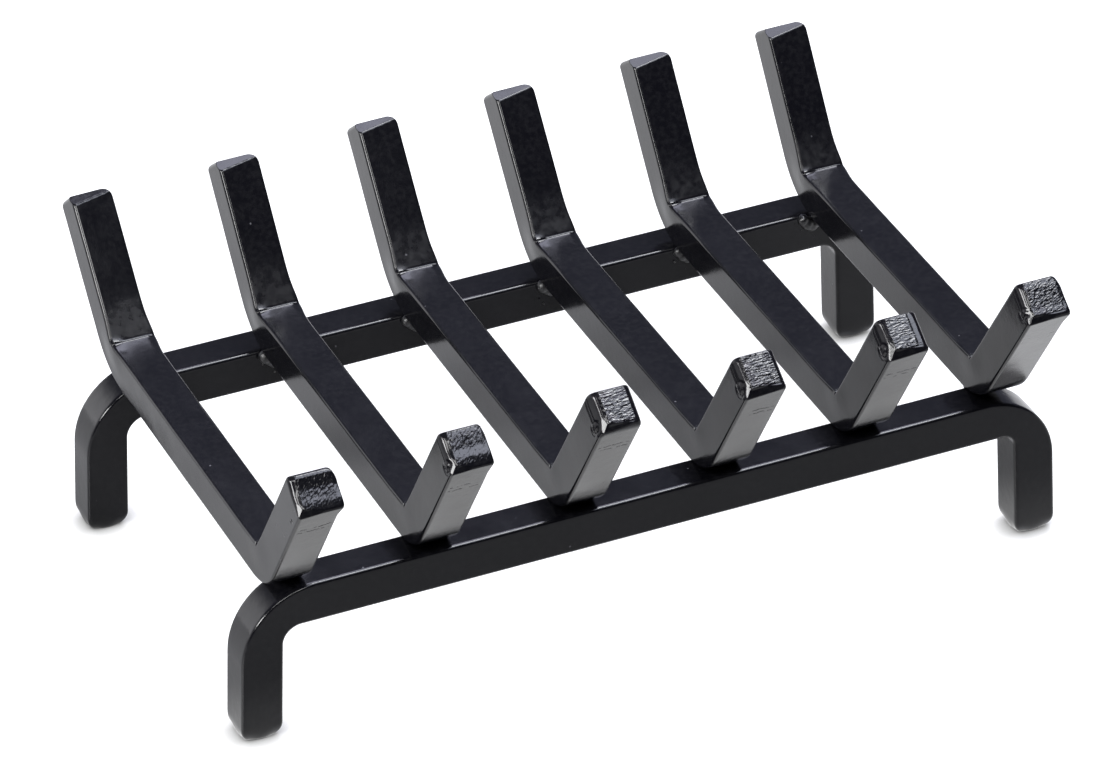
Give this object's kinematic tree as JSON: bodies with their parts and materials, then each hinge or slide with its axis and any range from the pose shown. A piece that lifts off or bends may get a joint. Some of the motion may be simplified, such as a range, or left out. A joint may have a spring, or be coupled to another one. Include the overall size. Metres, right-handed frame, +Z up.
{
  "type": "log grate",
  "caption": "Welded log grate of black square steel bar: bars with both ends bent up lie across two rails whose ends bend down into legs.",
  "frame": {"origin": "on the floor, below the middle of the whole grate's outline seen from above", "axes": "+X along the rails to the right, as the picture sees it; +Y from front to back; +Z up"},
  "size_m": [0.4086, 0.3092, 0.1634],
  "materials": {
    "black_paint": "gloss black paint over sheared and bent steel bar",
    "weld_bead": "black paint over rippled weld metal"
  },
  "bodies": {
    "root": {"front_rail": "black_paint", "rear_rail": "black_paint", "grate_bar_1": "black_paint", "grate_bar_2": "black_paint", "grate_bar_3": "black_paint", "grate_bar_4": "black_paint", "grate_bar_5": "black_paint", "grate_bar_6": "black_paint", "front_weld_1": "weld_bead", "front_weld_2": "weld_bead", "front_weld_3": "weld_bead", "front_weld_4": "weld_bead", "front_weld_5": "weld_bead", "front_weld_6": "weld_bead", "rear_weld_1": "weld_bead", "rear_weld_2": "weld_bead", "rear_weld_3": "weld_bead", "rear_weld_4": "weld_bead", "rear_weld_5": "weld_bead", "rear_weld_6": "weld_bead"}
  },
  "joints": []
}
